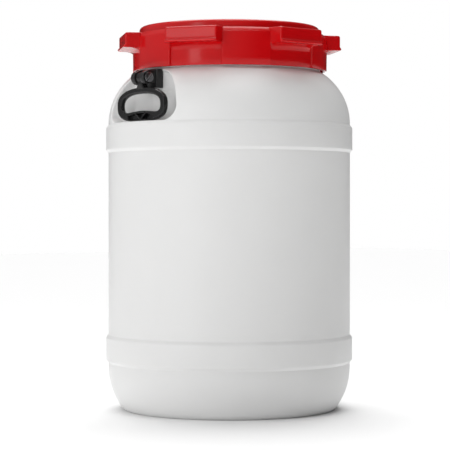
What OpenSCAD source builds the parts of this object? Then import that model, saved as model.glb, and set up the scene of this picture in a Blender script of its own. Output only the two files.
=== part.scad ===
// Wide-neck fermenting drum with a screw lid and two swing handles.
// Frame: +Z up, origin on the floor at the drum's axis, handles on the X axis.

/* [Drum] */
// Diameter over the two rolling hoops
hoop_d = 400; // [398:0.5:404]
// Diameter of the plain wall between the hoops
wall_d = 392.4; // [390:0.2:394]
// Wall thickness of the blown drum
wall = 3; // [2.6:0.1:3.2]
// Height of the rim of the neck
rim_z = 600; // [599.5:0.5:601]
// Outside diameter of the neck, at the root of its thread
neck_d = 295; // [294.6:0.1:295.2]
// Wall thickness of the neck
neck_wall = 4.5; // [4:0.1:5]
// Top of the lower hoop
lower_hoop_z = 121.5; // [118:0.5:125]
// Top of the upper hoop
upper_hoop_z = 460; // [460:0.5:461]
// Height of each hoop, bevels included
hoop_h = 45; // [40:1:48]

/* [Thread] */
// Rise of the lid in one turn
lead = 24; // [22:1:24]
// Number of thread starts
starts = 2; // [1:1:2]
// Turn that each thread ridge covers, in degrees
thread_sweep = 330; // [200:5:330]

/* [Lid] */
// Diameter of the skirt between the grip lugs, at its lower edge
skirt_d = 316.8; // [316:0.2:318]
// Diameter of the hollows under the grip lugs, at the lower edge
hollow_d = 310.4; // [310:0.2:311]
// Inside diameter of the skirt, at the root of its thread
skirt_bore_d = 304; // [303.6:0.2:304.4]
// Number of grip lugs
lug_count = 6; // [3:3:6]
// Diameter over the grip lugs
lug_d = 361; // [354:1:362]
// Diameter over the lip along the lower edge of each lug
lip_d = 367; // [364:1:368]

/* [Handle] */
// Width of the handle loop
loop_w = 122; // [116:1:124]
// Depth of the handle loop, in and out from the drum
loop_t = 9.5; // [8:0.5:11]
// Diameter of the hinge bolt's plain shank
bolt_d = 8; // [6:0.5:8]

/* [Hidden] */
$fn = 96;
eps = 0.02;

white = [0.93, 0.93, 0.92];
red = [0.80, 0.08, 0.09];
black = [0.06, 0.06, 0.065];
steel = [0.16, 0.16, 0.17];
rubber = [0.16, 0.16, 0.17];

left = 180;
right = 0;

hoop_r = hoop_d / 2;
wall_r = wall_d / 2;
neck_r = neck_d / 2;
neck_bore_r = neck_r - neck_wall;

// Base: a flat foot ring round a shallow recess, which sits over the crown of a lid below.
base_arc_r = 112.2;
base_arc_z = 70;
foot_in_r = 152;
foot_out_r = 169;
foot_chamfer = 3;
base_recess_h = 15;
base_recess_draft = 6;
hoop_bevel = 4.5;
shoulder_arc_r = 97.7;
shoulder_arc_z = 462;

// Points on an arc, from angle a0 to a1
function arc(cx, cy, r, a0, a1, n) =
    [for (i = [0:n]) let (a = a0 + (a1 - a0) * i / n) [cx + r * cos(a), cy + r * sin(a)]];

// One quadrant pair of a superellipse: half width a, height b, from angle a0 to a1
function squircle(a, b, p, a0, a1, n) =
    [for (i = [0:n]) let (v = a0 + (a1 - a0) * i / n)
        [a * sign(cos(v)) * pow(abs(cos(v)), 2 / p), b * sign(sin(v)) * pow(abs(sin(v)), 2 / p)]];

function moved(points, dx, dy) = [for (p = points) [p[0] + dx, p[1] + dy]];

// Hoop bulge, set in by t for the inside of the wall
function hoop(top, t) =
    [[wall_r - t, top - hoop_h], [hoop_r - t, top - hoop_h + hoop_bevel],
     [hoop_r - t, top - hoop_bevel], [wall_r - t, top]];

// Outline of the drum from its axis to the rim, set in by t; n_r is the neck's radius on that side
function drum_outline(t, n_r) =
    let (c = wall_r - base_arc_r, low = foot_chamfer + t,
         base_a = -asin((base_arc_z - low) / (base_arc_r - t)),
         s = wall_r - shoulder_arc_r, neck_a = acos((n_r - s) / (shoulder_arc_r - t)))
    concat([[0, base_recess_h + t], [foot_in_r - base_recess_draft + t / 2, base_recess_h + t],
            [foot_in_r + t / 2, t], [foot_out_r - t / 2, t]],
           arc(c, base_arc_z, base_arc_r - t, base_a, 0, 12),
           hoop(lower_hoop_z, t), hoop(upper_hoop_z, t),
           arc(s, shoulder_arc_z, shoulder_arc_r - t, 0, neck_a, 14),
           [[n_r, rim_z], [0, rim_z]]);

// Pocket in the shoulder behind each handle: a round arch that turns in to a flat foot
pocket_w = 82;
pocket_z = 466;
pocket_top = 81.3;
pocket_foot = 460.6;
pocket_corner = 17;
pocket_corner_t = 64;
arch_turn = 9;
corner_turn = 6;
pocket_floor = 150;
pocket_out = 230;
// Low on the floor a keel stands out towards the grip; above it the floor is flat for the bracket
keel_z = 508.5;
keel_h = 7;
floor_half = 44;
floor_rise = 24;

function pocket_face(g) =
    let (c = pocket_corner_t, z = pocket_foot + pocket_corner)
    concat(moved(squircle(pocket_w + g, pocket_top + g, 2, arch_turn, 180 - arch_turn, 28), 0, pocket_z),
           arc(-c, z, pocket_corner + g, 180 + corner_turn, 270, 6),
           arc(c, z, pocket_corner + g, 270, 360 - corner_turn, 6));

// Plan of the pocket floor; keel is the height of its middle
function pocket_plan(g, keel) =
    let (f = pocket_floor - g, w = pocket_w + 2 * g)
    [[pocket_out, -w], [f + floor_rise, -w], [f, -floor_half], [f + keel, 0],
     [f, floor_half], [f + floor_rise, w], [pocket_out, w]];

module pocket(side, g) {
    low = pocket_foot - 20;
    rotate([0, 0, side])
        intersection() {
            rotate([90, 0, 90]) linear_extrude(height = pocket_out) polygon(pocket_face(g));
            union() {
                translate([0, 0, low]) linear_extrude(height = keel_z - low) polygon(pocket_plan(g, keel_h));
                translate([0, 0, keel_z - g]) linear_extrude(height = 100) polygon(pocket_plan(g, 0));
            }
        }
}

// Solid dovetail on the pocket floor, which the handle bracket slides up on to
dovetail_root = 7.5;
dovetail_tip = 10.5;
dovetail_h = 8;
dovetail_z = [518.5, 541];
screw_z = 534.5;
screw_r = 2;
pilot_depth = 8.5;

module dovetail(gap, z0, z1) {
    translate([0, 0, z0])
        linear_extrude(height = z1 - z0)
            polygon([[pocket_floor - wall / 2, -dovetail_root - gap], [pocket_floor, -dovetail_root - gap],
                     [pocket_floor + dovetail_h + gap, -dovetail_tip - gap],
                     [pocket_floor + dovetail_h + gap, dovetail_tip + gap],
                     [pocket_floor, dovetail_root + gap], [pocket_floor - wall / 2, dovetail_root + gap]]);
}

// Thread ridges: a trapezoid swept along a helix, one ridge for each start
ridge_root = 5;
ridge_crest = 2.4;
ridge_clear = 0.8;
ridge_bury = 0.9;
ridge_facets = 60;
neck_thread_z = 560;
// Screwed down, the lid's ridges bear up under the neck's
ridge_drop = 3.8;
taper_facets = 4;

// r_in is buried in the wall, r_out is the crest; either may be the larger
module thread_ridge(r_in, r_out, z0, turn) {
    n = ridge_facets;
    function section(i) =
        let (a = turn + thread_sweep * i / n, z = z0 + lead * thread_sweep / 360 * i / n,
             k = min(1, (i + 0.5) / taper_facets, (n - i + 0.5) / taper_facets),
             crest = r_in + (r_out - r_in) * k)
        [for (q = [[r_in, -ridge_root / 2], [crest, -ridge_crest / 2],
                   [crest, ridge_crest / 2], [r_in, ridge_root / 2]])
            [q[0] * cos(a), q[0] * sin(a), z + q[1]]];
    pts = [for (i = [0:n]) each section(i)];
    inward = r_out < r_in;
    sides = [for (i = [0:n - 1], j = [0:3])
        let (a = 4 * i + j, b = 4 * i + (j + 1) % 4, c = a + 4, d = b + 4)
        each inward ? [[a, d, b], [a, c, d]] : [[a, b, d], [a, d, c]]];
    first = [0, 1, 2, 3];
    last = [4 * n, 4 * n + 1, 4 * n + 2, 4 * n + 3];
    function flipped(f) = [f[3], f[2], f[1], f[0]];
    polyhedron(points = pts,
               faces = concat(sides, [inward ? first : flipped(first)], [inward ? flipped(last) : last]));
}

module threads(r_in, r_out, z0) {
    for (k = [0:starts - 1]) thread_ridge(r_in, r_out, z0, 360 * k / starts);
}

// The drum is one moulding, given as three nodes that meet on the plain wall just clear of the hoops
base_cut = lower_hoop_z + 0.5;
shoulder_cut = upper_hoop_z - hoop_h - 0.5;

// A band of the drum's outline between two heights, set in by t
module drum_band(t, n_r, z0, z1) {
    intersection() {
        polygon(drum_outline(t, n_r));
        translate([0, z0]) square([hoop_r + 1, z1 - z0]);
    }
}

module drum_base() {
    color(white)
        rotate_extrude()
            difference() {
                drum_band(0, neck_r, 0, base_cut);
                drum_band(wall, neck_bore_r, 0, base_cut + 1);
            }
}

module drum_wall() {
    color(white)
        translate([0, 0, base_cut])
            difference() {
                cylinder(r = wall_r, h = shoulder_cut - base_cut);
                translate([0, 0, -1]) cylinder(r = wall_r - wall, h = shoulder_cut - base_cut + 2);
            }
}

module drum_shoulder() {
    color(white) {
        difference() {
            union() {
                difference() {
                    rotate_extrude() drum_band(0, neck_r, shoulder_cut, rim_z);
                    for (side = [left, right]) pocket(side, 0);
                }
                for (side = [left, right]) rotate([0, 0, side]) dovetail(0, dovetail_z[0], dovetail_z[1]);
            }
            difference() {
                union() {
                    rotate_extrude() drum_band(wall, neck_bore_r, shoulder_cut - 1, rim_z);
                    translate([0, 0, shoulder_cut - 1]) cylinder(r = neck_bore_r, h = rim_z);
                }
                for (side = [left, right]) pocket(side, wall);
            }
            for (side = [left, right])
                rotate([0, 0, side])
                    translate([pocket_floor + dovetail_h - pilot_depth, 0, screw_z])
                        rotate([0, 90, 0]) cylinder(r = screw_r + 0.05, h = pilot_depth + 1);
        }
        threads(neck_r - ridge_bury, skirt_bore_d / 2 - ridge_clear, neck_thread_z);
    }
}

// Lid: skirt, shoulder bevel, raised crown with a sunk panel, and a short plug inside the neck
skirt_z = 547;
bevel_z = [598, 605.7];
skirt_draft = 0.8;
skirt_r = skirt_d / 2;
skirt_bore_r = skirt_bore_d / 2;
gasket_h = 3;
gasket_gap = 0.15;
seat_z = rim_z + gasket_h + 2 * gasket_gap;
crown_r = 146;
crown_in_r = 132;
crown_z = 618.5;
crown_round = 4;
panel_z = 602;
panel_wall = 3.2;
plug_r = 141.4;
plug_wall = 2.8;
plug_z = 588;
step_r = 98;
step_h = 2.5;

module lid_form() {
    ledge_r = 155;
    c = crown_r - crown_round;
    rotate_extrude()
        polygon(concat([[0, plug_z], [plug_r, plug_z], [plug_r, seat_z], [skirt_bore_r, seat_z],
                        [skirt_bore_r, skirt_z], [skirt_r, skirt_z], [skirt_r + skirt_draft, bevel_z[0]]],
                       [for (a = [15:15:75]) [ledge_r + (skirt_r + skirt_draft - ledge_r) * cos(a),
                                              bevel_z[0] + (bevel_z[1] - bevel_z[0]) * sin(a)]],
                       [[ledge_r, bevel_z[1]], [crown_r, bevel_z[1]]],
                       arc(c, crown_z - crown_round, crown_round, 0, 90, 5),
                       [[crown_in_r, crown_z], [crown_in_r - 3, panel_z], [step_r + 2, panel_z],
                        [step_r, panel_z + step_h], [0, panel_z + step_h]]));
}

// Inside of the lid: under the panel, and up into the hollow crown
module lid_core() {
    rotate_extrude()
        polygon([[0, plug_z - 1], [plug_r - plug_wall, plug_z - 1],
                 [plug_r - plug_wall, crown_z - panel_wall], [crown_in_r + panel_wall, crown_z - panel_wall],
                 [crown_in_r - 3 + panel_wall, panel_z - panel_wall], [0, panel_z - panel_wall]]);
}

// Grip lug, with a lip along its lower edge
lug_half = 13.8;
lug_root_half = 16.3;
lug_root_r = 144;
lug_z = [581.5, 605.4];
lip_h = 4.5;
lug_bevel = 2.2;

function sector(r, half) = [for (a = [-half:half / 6:half]) [r * cos(a), r * sin(a)]];

// Plan of a lug with straight sides and a flat outer face; r reaches its outer corners
function lug_plan(r, grow) =
    let (root = skirt_r * [cos(lug_root_half), sin(lug_root_half)],
         corner = r * [cos(lug_half), sin(lug_half)])
    [[lug_root_r, -root[1] - grow], [root[0], -root[1] - grow], [corner[0], -corner[1] - grow],
     [corner[0], corner[1] + grow], [root[0], root[1] + grow], [lug_root_r, root[1] + grow]];

module lug() {
    translate([0, 0, lug_z[0]])
        linear_extrude(height = lug_z[1] - lug_bevel - lug_z[0]) polygon(lug_plan(lug_d / 2, 0));
    translate([0, 0, lug_z[0]])
        linear_extrude(height = lug_z[1] - lug_z[0]) polygon(lug_plan(lug_d / 2 - lug_bevel, -lug_bevel / 2));
    translate([0, 0, lug_z[0] + 1])
        linear_extrude(height = lip_h - 2) polygon(lug_plan(lip_d / 2, 0.6));
}

// Hollow in the skirt under a lug
module lug_hollow() {
    translate([0, 0, skirt_z - 1])
        linear_extrude(height = lug_z[0] - skirt_z + 2)
            difference() {
                polygon(concat([[0, 0]], sector(skirt_r + 12, lug_root_half - 0.4)));
                circle(r = hollow_d / 2 + 0.6);
            }
}

module lid() {
    color(red) {
        difference() {
            lid_form();
            lid_core();
            for (k = [0:lug_count - 1]) rotate([0, 0, 30 + 360 * k / lug_count]) lug_hollow();
        }
        for (k = [0:lug_count - 1])
            rotate([0, 0, 30 + 360 * k / lug_count])
                difference() {
                    lug();
                    translate([0, 0, skirt_z]) cylinder(r = skirt_bore_r + 1.5, h = 80);
                }
        threads(skirt_bore_r + ridge_bury, neck_r + ridge_clear, neck_thread_z - ridge_drop);
    }
}

// Flat sealing ring between the rim and the lid's seat
module lid_gasket() {
    color(rubber)
        translate([0, 0, rim_z + gasket_gap])
            difference() {
                cylinder(r = neck_r + 1.5, h = gasket_h);
                translate([0, 0, -1]) cylinder(r = plug_r + 0.5, h = gasket_h + 2);
            }
}

// Handle hinge: bolt along Y through the bracket's two ears
hinge_x = 177.5;
hinge_z = 529.5;
ear_out = 15.5;
ear_in = 7;
nose_r = 11;
shoulder_r = 9.5;
shoulder_place = [173.5, 532.5];
base_w = 18.5;
base_front = 163;
bracket_z = [514, 543.5];
bolt_fit = 0.03;
barrel_fit = 0.06;
bore_reach = 30;
ear_foot = 521;
gap = 0.2;

// Hole for the hinge bolt, right through
module hinge_bore(fit) {
    translate([hinge_x, -bore_reach, hinge_z])
        rotate([-90, 0, 0]) cylinder(r = bolt_d / 2 + fit, h = 2 * bore_reach);
}

module ear() {
    translate([0, ear_out, 0])
        rotate([90, 0, 0])
            linear_extrude(height = ear_out - ear_in)
                hull() {
                    translate([base_front - 4, ear_foot]) square([2, bracket_z[1] - ear_foot]);
                    translate(shoulder_place) circle(r = shoulder_r, $fn = 32);
                    translate([hinge_x, hinge_z]) circle(r = nose_r, $fn = 32);
                }
}

module bracket(side) {
    floor_x = pocket_floor + gap;
    color(black)
        rotate([0, 0, side])
            difference() {
                union() {
                    translate([floor_x, -base_w, bracket_z[0]])
                        cube([base_front - floor_x, 2 * base_w, bracket_z[1] - bracket_z[0]]);
                    ear();
                    mirror([0, 1, 0]) ear();
                }
                dovetail(gap, dovetail_z[0] - gap, bracket_z[1] + 10);
                hinge_bore(bolt_fit);
                translate([pocket_floor, 0, screw_z]) rotate([0, 90, 0]) cylinder(r = screw_r + 0.3, h = 20);
            }
}

// Handle: loop, neck and hinge barrel in one moulding
loop_z = 489;
loop_top = 25.4;
loop_bottom = 27.6;
window_z = 487;
window_w = 49.5;
window_top = 17.4;
window_foot = 473;
window_corner = 8;
arch_h = 5;
barrel_r = 8.5;
neck_half = 6.6;
flare_half = 20;
flare_z = 516;
flare_foot = 509.8;
grip_recess = 3.5;

function loop_face() =
    moved(concat(squircle(loop_w / 2, loop_top, 2.3, 0, 180, 32),
                 squircle(loop_w / 2, loop_bottom, 3.2, 185, 355, 34)), 0, loop_z);

// The window's lower edge is the grip, arched up in the middle
function window_face() =
    let (c = window_corner, e = window_w - c - 2, z = window_foot + c)
    concat(moved(squircle(window_w, window_top, 2.5, 0, 180, 28), 0, window_z),
           arc(-e, z, c, 190, 262, 5),
           [for (i = [-4:4]) [i * e / 5, window_foot + arch_h * cos(90 * i / 5) + 0.4]],
           arc(e, z, c, 278, 350, 5));

// Recess along the front of the grip, with a V-shaped rib left in it
module grip_recess() {
    v_w = 11;
    z0 = 465;
    z1 = 471.5;
    rib = 1.1;
    difference() {
        polygon([[-34, z0 + 3], [-30, z0], [30, z0], [34, z0 + 3], [30, z1 - 1], [12, z1 + 3], [-12, z1 + 3],
                 [-30, z1 - 1]]);
        for (s = [-1, 1])
            polygon([[0, z0 - rib], [s * 2 * rib, z0 - rib], [s * (v_w + 2 * rib), z1 + 4],
                     [s * (v_w - rib), z1 + 4], [0, z0 + rib]]);
    }
}

module handle(side) {
    front = hinge_x + loop_t / 2;
    back = front - loop_t;
    color(black)
        rotate([0, 0, side])
            difference() {
                union() {
                    translate([back, 0, 0])
                        rotate([90, 0, 90])
                            linear_extrude(height = loop_t)
                                difference() {
                                    polygon(loop_face());
                                    polygon(window_face());
                                }
                    translate([hinge_x, -neck_half, hinge_z])
                        rotate([-90, 0, 0]) cylinder(r = barrel_r, h = 2 * neck_half);
                    translate([hinge_x - barrel_r + 2, 0, 0])
                        rotate([90, 0, 90])
                            linear_extrude(height = 2 * barrel_r - 4)
                                polygon([[-neck_half, hinge_z], [-neck_half, flare_z], [-flare_half, flare_foot],
                                         [flare_half, flare_foot], [neck_half, flare_z], [neck_half, hinge_z]]);
                }
                hinge_bore(barrel_fit);
                translate([front - grip_recess, 0, 0])
                    rotate([90, 0, 90]) linear_extrude(height = grip_recess + 1) grip_recess();
            }
}

// Hinge bolt: slotted pan head, plain shank
head_r = 8;
head_h = 3.2;
slot_w = 1.8;
nut_h = 5.5;

module hinge_bolt(side) {
    color(steel)
        rotate([0, 0, side])
            translate([hinge_x, 0, hinge_z])
                rotate([-90, 0, 0])
                    difference() {
                        union() {
                            translate([0, 0, -ear_out - nut_h - 0.5])
                                cylinder(r = bolt_d / 2, h = 2 * ear_out + nut_h + 1);
                            translate([0, 0, ear_out + 0.1]) cylinder(r = head_r, h = head_h - 1);
                            translate([0, 0, ear_out + head_h - 0.9 - eps])
                                cylinder(r1 = head_r, r2 = head_r - 1.2, h = 1);
                        }
                        rotate([0, 0, -40])
                            translate([-slot_w / 2, -10, ear_out + head_h - 1.6]) cube([slot_w, 20, 4]);
                    }
}

// Domed cap nut on the far end of the bolt
module hinge_nut(side) {
    flats_r = 13 / 2 / cos(30);
    bore = bolt_d / 2 + bolt_fit;
    color(steel)
        rotate([0, 0, side])
            translate([hinge_x, -ear_out - 0.1, hinge_z])
                rotate([90, 0, 0])
                    difference() {
                        union() {
                            cylinder(r = flats_r, h = nut_h, $fn = 6);
                            translate([0, 0, nut_h - 1.5])
                                intersection() {
                                    sphere(r = 6);
                                    cylinder(r = 7, h = 8);
                                }
                        }
                        translate([0, 0, -1]) cylinder(r = bore, h = nut_h + 1.8);
                    }
}

// Self-tapping screw that locks the bracket on the dovetail
module bracket_screw(side) {
    color(steel)
        rotate([0, 0, side])
            translate([base_front, 0, screw_z])
                rotate([0, 90, 0])
                    difference() {
                        union() {
                            translate([0, 0, -12]) cylinder(r = screw_r, h = 12.5);
                            translate([0, 0, 0.05]) cylinder(r1 = 4.2, r2 = 3.2, h = 2.2);
                        }
                        for (a = [0, 90])
                            rotate([0, 0, a]) translate([-0.5, -2.6, 1]) cube([1, 5.2, 3]);
                    }
}

drum_base();
drum_wall();
drum_shoulder();
lid();
lid_gasket();
bracket(left);  // bracket_left
handle(left);  // handle_left
hinge_bolt(left);  // hinge_bolt_left
hinge_nut(left);  // hinge_nut_left
bracket_screw(left);  // bracket_screw_left
bracket(right);  // bracket_right
handle(right);  // handle_right
hinge_bolt(right);  // hinge_bolt_right
hinge_nut(right);  // hinge_nut_right
bracket_screw(right);  // bracket_screw_right
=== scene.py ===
import math

import bmesh
import bpy
from mathutils import Matrix, Vector


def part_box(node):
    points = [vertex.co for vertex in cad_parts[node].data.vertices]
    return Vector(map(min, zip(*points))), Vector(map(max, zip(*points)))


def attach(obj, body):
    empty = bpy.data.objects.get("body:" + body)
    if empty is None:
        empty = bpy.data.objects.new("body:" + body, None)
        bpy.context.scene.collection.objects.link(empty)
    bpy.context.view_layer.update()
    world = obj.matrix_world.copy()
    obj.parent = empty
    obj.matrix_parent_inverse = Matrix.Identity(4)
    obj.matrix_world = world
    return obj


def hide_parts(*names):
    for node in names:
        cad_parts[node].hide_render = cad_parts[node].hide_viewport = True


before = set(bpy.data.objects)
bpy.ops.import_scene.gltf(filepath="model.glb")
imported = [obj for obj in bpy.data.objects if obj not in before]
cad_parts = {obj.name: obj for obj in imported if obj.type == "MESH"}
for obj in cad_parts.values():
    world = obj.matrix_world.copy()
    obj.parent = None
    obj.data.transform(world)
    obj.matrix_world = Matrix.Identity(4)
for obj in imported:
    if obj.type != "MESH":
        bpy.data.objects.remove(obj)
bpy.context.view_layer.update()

MM = 0.001


# ---------------------------------------------------------------------------------------------
# Drum body: one blow moulding in natural white polyethylene, about 3 mm thick. Its two rolling
# hoops, domed base and shoulder and the pocket behind each handle all come from the mould.
# The neck is thicker and carries a two-start thread outside.
# ---------------------------------------------------------------------------------------------
HOOP_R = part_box("drum_base")[1][0] / MM
WALL_R = 196.2
WALL = 3.0
NECK_R = 147.5
NECK_BORE = 143.0
RIM_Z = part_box("drum_shoulder")[1][2] / MM
DOME_R = 97.7
DOME_Z = 462.0
BASE_R = 112.2
BASE_Z = 70.0
SHOULDER = (460.6, 545.9)
HOOP_TOPS = (121.5, 460.2)
THREAD_SWEEP = 330.0
THREAD_LEAD = 24.0
POCKET_ARC = 33.0
POCKET_COLUMNS = 48
PLAIN_COLUMNS = 36


def rounded(corners, step=14.0):
    """A line through corners (x, y, radius), each corner turned by an arc of that radius."""
    line = []
    for i, (x, y, radius) in enumerate(corners):
        here = Vector((x, y))
        if radius == 0 or i in (0, len(corners) - 1):
            line.append(here)
            continue
        back = (Vector(corners[i - 1][:2]) - here).normalized()
        ahead = (Vector(corners[i + 1][:2]) - here).normalized()
        turn = math.pi - back.angle(ahead)
        if turn < 1e-4:
            line.append(here)
            continue
        reach = radius * math.tan(turn / 2)
        start = here + back * reach
        side = (back + ahead).normalized()
        centre = here + side * (radius / math.cos(turn / 2))
        spokes = max(2, math.ceil(math.degrees(turn) / step))
        first = start - centre
        sign = 1 if first.cross(here + ahead * reach - centre) > 0 else -1
        for k in range(spokes + 1):
            spoke = first.copy()
            spoke.rotate(Matrix.Rotation(sign * turn * k / spokes, 2))
            line.append(centre + spoke)
    return line


def arc(cx, cy, radius, start, end, count):
    """Points along an arc, in degrees."""
    angles = [math.radians(start + (end - start) * i / count) for i in range(count + 1)]
    return [Vector((cx + radius * math.cos(a), cy + radius * math.sin(a))) for a in angles]


def smooth(x):
    """0 below 0, 1 above 1, with an even S between."""
    x = min(1.0, max(0.0, x))
    return x * x * (3 - 2 * x)


def shoulder_radius(z, inset):
    """Radius of the shoulder's dome at height z."""
    rise = z - DOME_Z
    if rise <= 0:
        return WALL_R - inset
    return WALL_R - DOME_R + math.sqrt(max((DOME_R - inset) ** 2 - rise * rise, 1.0))


def drum_profile(inset):
    """(r, z) from the middle of the base up to the neck, inset into the wall by that much."""
    low = 4.0
    recess_z = 15 + inset
    sharp = 3.2 if inset == 0 else 1.5
    base_start = -math.degrees(math.asin((BASE_Z - low - inset) / (BASE_R - inset)))
    foot = rounded([(0, recess_z, 0), (60, recess_z, 0), (146 + inset / 2, recess_z, 4),
                    (152 + inset / 2, inset, 3), (170 - inset / 2, inset, 3.5),
                    (arc(WALL_R - BASE_R, BASE_Z, BASE_R - inset, base_start, 0, 1)[0].x,
                     low + inset, 0)])
    dome = arc(WALL_R - BASE_R, BASE_Z, BASE_R - inset, base_start, 0, 18)
    hoops = []
    for top in HOOP_TOPS:
        for z, out in ((top - 45, 0), (top - 40.5, 1), (top - 4.8, 1), (top, 0)):
            r = (HOOP_R if out else WALL_R) - inset
            hoops.append((r, z, sharp if out else 1.0))
    wall = rounded([(WALL_R - inset, 74, 0)] + hoops + [(WALL_R - inset, SHOULDER[0] + 3, 0)])
    wall = [p for p in wall if p.y < SHOULDER[0] - 0.05]
    rows = 30
    shoulder = [SHOULDER[0] + (SHOULDER[1] - SHOULDER[0]) * i / rows for i in range(rows + 1)]
    shoulder = [Vector((shoulder_radius(z, inset), z)) for z in shoulder]
    return foot[:-1] + dome + wall + shoulder


# The pocket's outline in the plane behind the handle: t across, z up.
POCKET_W = 86.0
POCKET_MID = 466.0
POCKET_RISE = 81.3
POCKET_FOOT = 460.9
POCKET_CORNER = 23.0
POCKET_CORNER_T = 60.7
POCKET_TOP = 544.6
POCKET_FLOOR = 150.0
POCKET_CENTRE = (0, 506)
FLAT_HALF = 50.0
FLARE = 30.0
FLARE_WIDTH = 50.0
FOOT_STEEPNESS = 0.9
LIP = 2.4
KEEL = 7.0
KEEL_HALF = 44.0
KEEL_TOP = 508.5


def in_pocket(t, z, grow):
    """True inside the pocket's outline grown by that much: a round arch over a flat foot."""
    t = abs(t)
    corner_z = POCKET_FOOT + POCKET_CORNER
    if z > POCKET_TOP or z < POCKET_FOOT - grow * 0.1:
        return False
    if z >= corner_z:
        return (t / (POCKET_W + grow)) ** 2 + ((z - POCKET_MID) / (POCKET_RISE + grow)) ** 2 < 1
    corner = POCKET_CORNER + grow
    return t < POCKET_CORNER_T or (t - POCKET_CORNER_T) ** 2 + (corner_z - z) ** 2 < corner * corner


def pocket_depth(t, z, inset):
    """Distance of the pocket's floor from the drum's axis: flat behind the bracket, a keel below it."""
    t = abs(t)
    lift = KEEL * max(0.0, 1 - math.sqrt(t * t + 2) / KEEL_HALF) * (1 - smooth((z - KEEL_TOP + 2) / 4))
    return POCKET_FLOOR - inset + lift + FLARE * smooth((t - FLAT_HALF) / FLARE_WIDTH)


def pocket_ring(inset, rim):
    """Outline points that answer to the rim's points, seen from the pocket's middle."""
    ring = []
    mid = Vector(POCKET_CENTRE)
    for t, z in rim:
        way = Vector((t, z)) - mid
        lo, hi = 0.0, 1.0
        for _ in range(30):
            m = (lo + hi) / 2
            p = mid + way * m
            lo, hi = (m, hi) if in_pocket(p.x, p.y, inset) else (lo, m)
        ring.append(mid + way * lo)
    return ring


def shoulder_point(side, t, z, pull, inset):
    """A point on the shoulder, drawn in towards the pocket's floor by pull (0 to 1)."""
    r = shoulder_radius(z, inset)
    out = math.sqrt(max(r * r - t * t, 1.0))
    floor = min(out, pocket_depth(t, z, inset))
    n = out + (floor - out) * pull
    return Vector((side * n, side * t, z)) * MM


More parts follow.
